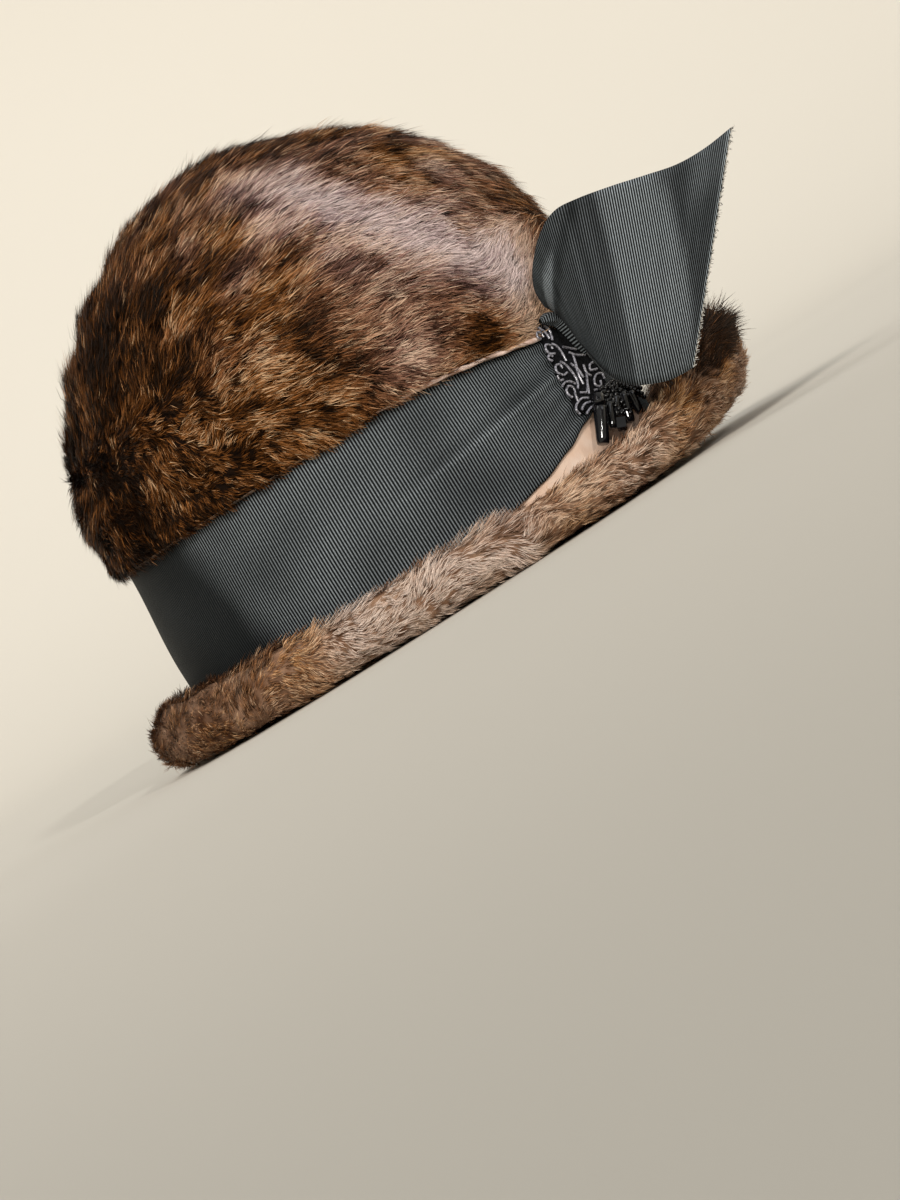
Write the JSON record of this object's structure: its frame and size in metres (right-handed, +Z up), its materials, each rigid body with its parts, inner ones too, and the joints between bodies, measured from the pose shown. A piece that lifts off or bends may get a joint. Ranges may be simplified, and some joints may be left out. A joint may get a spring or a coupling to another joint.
{
  "type": "felt hat",
  "caption": "Deep cloche of long-napped brown felt with a rolled brim flipped up in front, a wide gathered black ribbon, one bow tail and a corded ornament with jet drops.",
  "frame": {"origin": "under the middle of the hat's whole box, on the flat underside of the brim that it stands on", "axes": "+Z up out of the top of the crown, -Y towards the front of the hat, -X towards the wearer's right, where the bow is"},
  "size_m": [0.244, 0.302, 0.1987],
  "materials": {
    "napped_felt": "long brushed nap, mottled dark and red brown with lighter tan streaks",
    "brim_felt": "long brushed nap, greyish tan with dark patches",
    "smooth_felt": "smooth matt tan felt",
    "grosgrain": "black ribbed grosgrain with a soft grey sheen",
    "silk_cord": "glossy black twisted cord",
    "jet": "polished black glass"
  },
  "bodies": {
    "root": {"crown": "napped_felt", "side_band": "smooth_felt", "brim": "brim_felt", "ribbon_band": "grosgrain", "bow_tail": "grosgrain", "bow_knot": "grosgrain", "ornament": "silk_cord", "jet_cap": "jet", "jet_drop_1": "jet", "jet_drop_2": "jet", "jet_drop_3": "jet", "jet_drop_4": "jet", "jet_drop_5": "jet", "jet_lozenge": "jet"}
  },
  "joints": []
}
